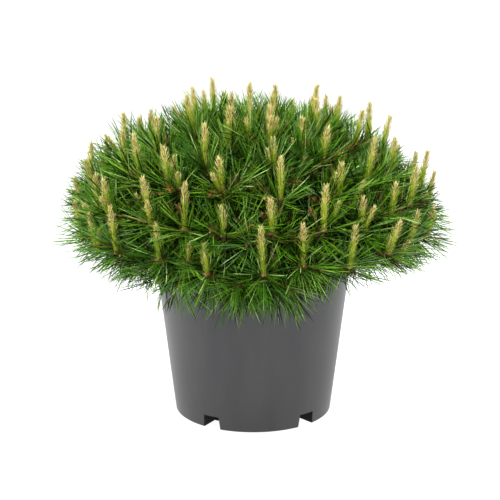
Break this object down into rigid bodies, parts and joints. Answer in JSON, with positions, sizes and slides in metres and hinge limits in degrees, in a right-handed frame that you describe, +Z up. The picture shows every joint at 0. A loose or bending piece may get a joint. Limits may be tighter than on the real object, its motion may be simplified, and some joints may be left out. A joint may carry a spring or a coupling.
{
  "type": "potted watereri scots pine",
  "caption": "Young dwarf pine with a low rounded crown of long green needles and upright spring candles, growing in a tapered round nursery pot with drainage notches at its foot.",
  "frame": {"origin": "centre of the pot's flat underside, which is the underside of the whole part", "axes": "+Z up along the pot's axis; +X to the right and -Y towards the viewer of the picture"},
  "size_m": [0.459, 0.4761, 0.3906],
  "materials": {
    "pot": "satin moulded plastic, dark grey",
    "medium": "damp peat and bark crumbs",
    "bark": "rough scaly bark",
    "foliage": "soft sheen, mid green needles"
  },
  "bodies": {
    "root": {"pot": "pot", "growing_medium": "medium", "trunk": "bark", "bough_lower_1": "bark", "bough_lower_2": "bark", "bough_lower_3": "bark", "bough_lower_4": "bark", "bough_lower_5": "bark", "bough_lower_6": "bark", "bough_lower_7": "bark", "bough_lower_8": "bark", "bough_middle_1": "bark", "bough_middle_2": "bark", "bough_middle_3": "bark", "bough_middle_4": "bark", "bough_middle_5": "bark", "bough_middle_6": "bark", "bough_middle_7": "bark", "bough_middle_8": "bark", "bough_upper_1": "bark", "bough_upper_2": "bark", "bough_upper_3": "bark", "bough_upper_4": "bark", "bough_upper_5": "bark", "foliage_lower_1": "foliage", "foliage_lower_2": "foliage", "foliage_lower_3": "foliage", "foliage_lower_4": "foliage", "foliage_lower_5": "foliage", "foliage_lower_6": "foliage", "foliage_lower_7": "foliage", "foliage_lower_8": "foliage", "foliage_middle_1": "foliage", "foliage_middle_2": "foliage", "foliage_middle_3": "foliage", "foliage_middle_4": "foliage", "foliage_middle_5": "foliage", "foliage_middle_6": "foliage", "foliage_middle_7": "foliage", "foliage_middle_8": "foliage", "foliage_upper_1": "foliage", "foliage_upper_2": "foliage", "foliage_upper_3": "foliage", "foliage_upper_4": "foliage", "foliage_upper_5": "foliage", "foliage_top_1": "foliage"}
  },
  "joints": []
}
